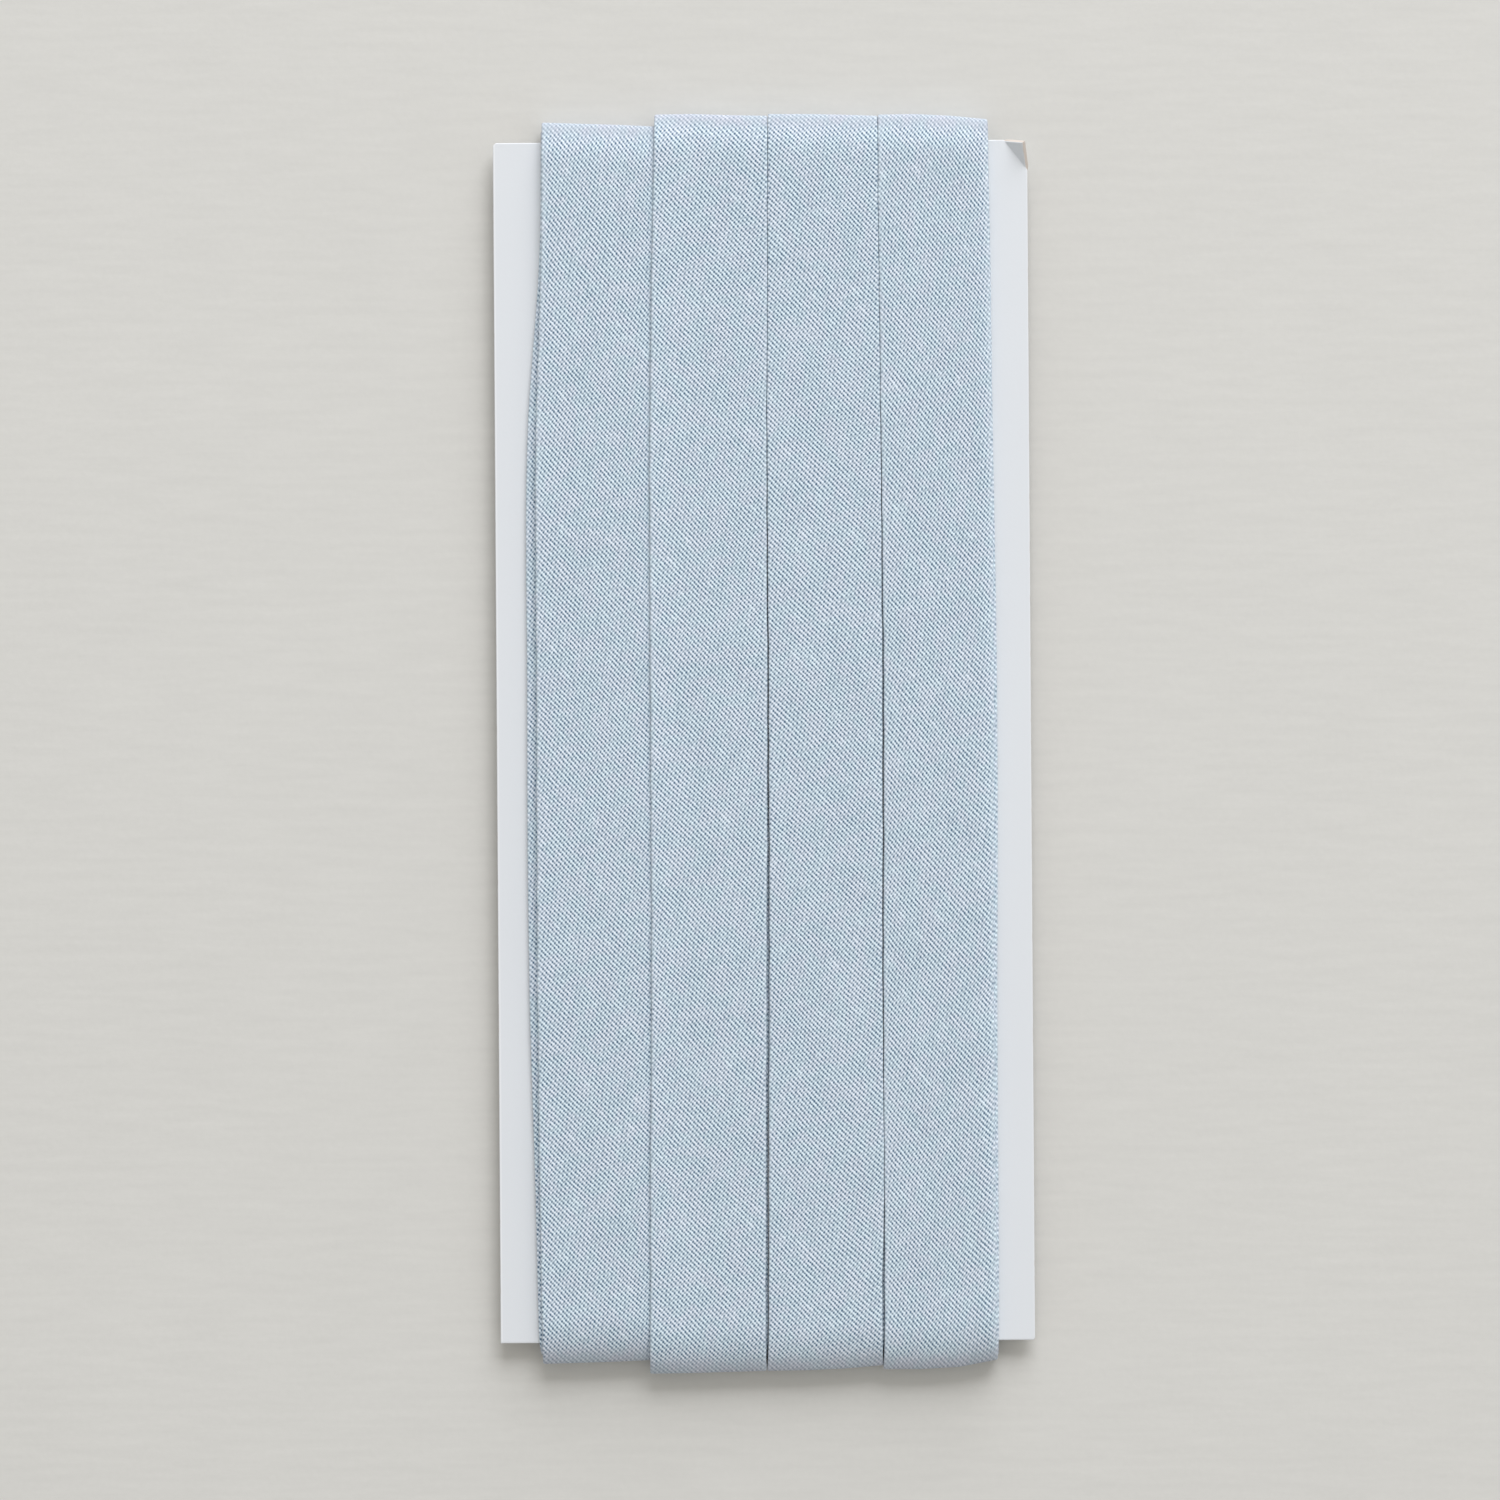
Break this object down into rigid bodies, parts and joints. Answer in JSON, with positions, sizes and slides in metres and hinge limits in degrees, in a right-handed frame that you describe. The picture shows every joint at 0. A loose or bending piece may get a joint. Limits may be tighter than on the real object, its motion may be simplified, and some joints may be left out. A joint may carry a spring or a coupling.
{
  "type": "card of wound bias binding",
  "caption": "Folded cotton bias binding wound flat and lengthwise round a white card in side-by-side lanes, lying on its back.",
  "frame": {"origin": "under the middle of the part, on the surface that it rests on", "axes": "+X across the card to the right as seen from the front, +Y along the lanes to the upper end, +Z out of the front"},
  "size_m": [0.0948, 0.2204, 0.0056],
  "materials": {
    "tape_cotton": "pale blue plain-weave cotton on the bias, pressed, matt",
    "coated_board": "white coated board, smooth and slightly satin, with a raw greyish tan core at its cut edges"
  },
  "bodies": {
    "root": {"binding": "tape_cotton", "card": "coated_board"}
  },
  "joints": []
}
